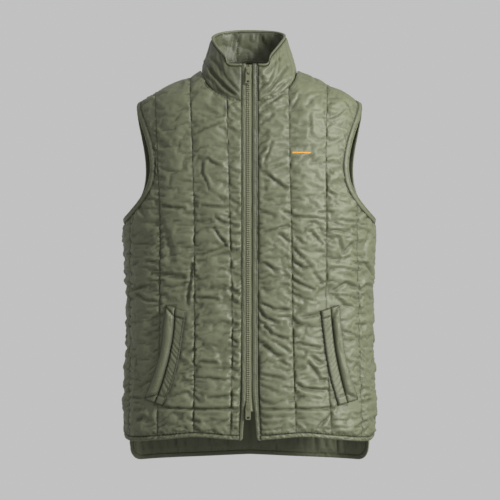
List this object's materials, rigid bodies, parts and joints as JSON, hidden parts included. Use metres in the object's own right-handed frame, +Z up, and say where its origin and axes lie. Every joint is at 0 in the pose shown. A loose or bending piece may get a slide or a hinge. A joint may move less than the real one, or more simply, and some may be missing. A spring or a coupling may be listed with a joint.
{
  "type": "quilted vest",
  "caption": "Sleeveless padded garment for the upper body, with a stand collar, vertical quilting, a two-way front zip and slanted hand pockets.",
  "frame": {"origin": "midway between the shoulders, level with the side neck points, where a wearer carries the garment", "axes": "+Z up, the front faces -Y, the wearer's left is +X"},
  "size_m": [0.4426, 0.2499, 0.7671],
  "materials": {
    "shell_cloth": "sage green woven nylon with a soft satin sheen, quilted over filling",
    "trim_cloth": "the same nylon, folded and stitched as bands, bindings and pocket pieces",
    "zip_tape": "matt woven tape and coil in the cloth's colour",
    "zip_metal": "sliders and pulls lacquered close to the cloth's colour"
  },
  "bodies": {
    "vest": {"front_right": "shell_cloth", "front_left": "shell_cloth", "back": "shell_cloth", "collar": "shell_cloth", "collar_binding": "trim_cloth", "armhole_binding_right": "trim_cloth", "armhole_binding_left": "trim_cloth", "hem_binding_right": "trim_cloth", "hem_binding_left": "trim_cloth", "hem_binding_back": "trim_cloth", "front_band_right": "trim_cloth", "front_band_left": "trim_cloth", "pocket_welt_right": "trim_cloth", "pocket_facing_right": "trim_cloth", "pocket_welt_left": "trim_cloth", "pocket_facing_left": "trim_cloth", "zip_tape_right": "zip_tape", "zip_tape_left": "zip_tape", "zip_chain": "zip_tape", "slider_top": "zip_metal", "slider_bottom": "zip_metal"},
    "pull_top": {"pull_top": "zip_metal"},
    "pull_bottom": {"pull_bottom": "zip_metal"}
  },
  "joints": [
    {"name": "pull_top_hinge", "type": "hinge", "parent": "vest", "child": "pull_top", "pos_m": [-0.0022, -0.09368, -0.01426], "axis": [-1, 0, 0], "range_deg": [0, 130]},
    {"name": "pull_bottom_hinge", "type": "hinge", "parent": "vest", "child": "pull_bottom", "pos_m": [-0.0022, -0.12705, -0.58928], "axis": [-1, 0, 0], "range_deg": [0, 130]}
  ]
}
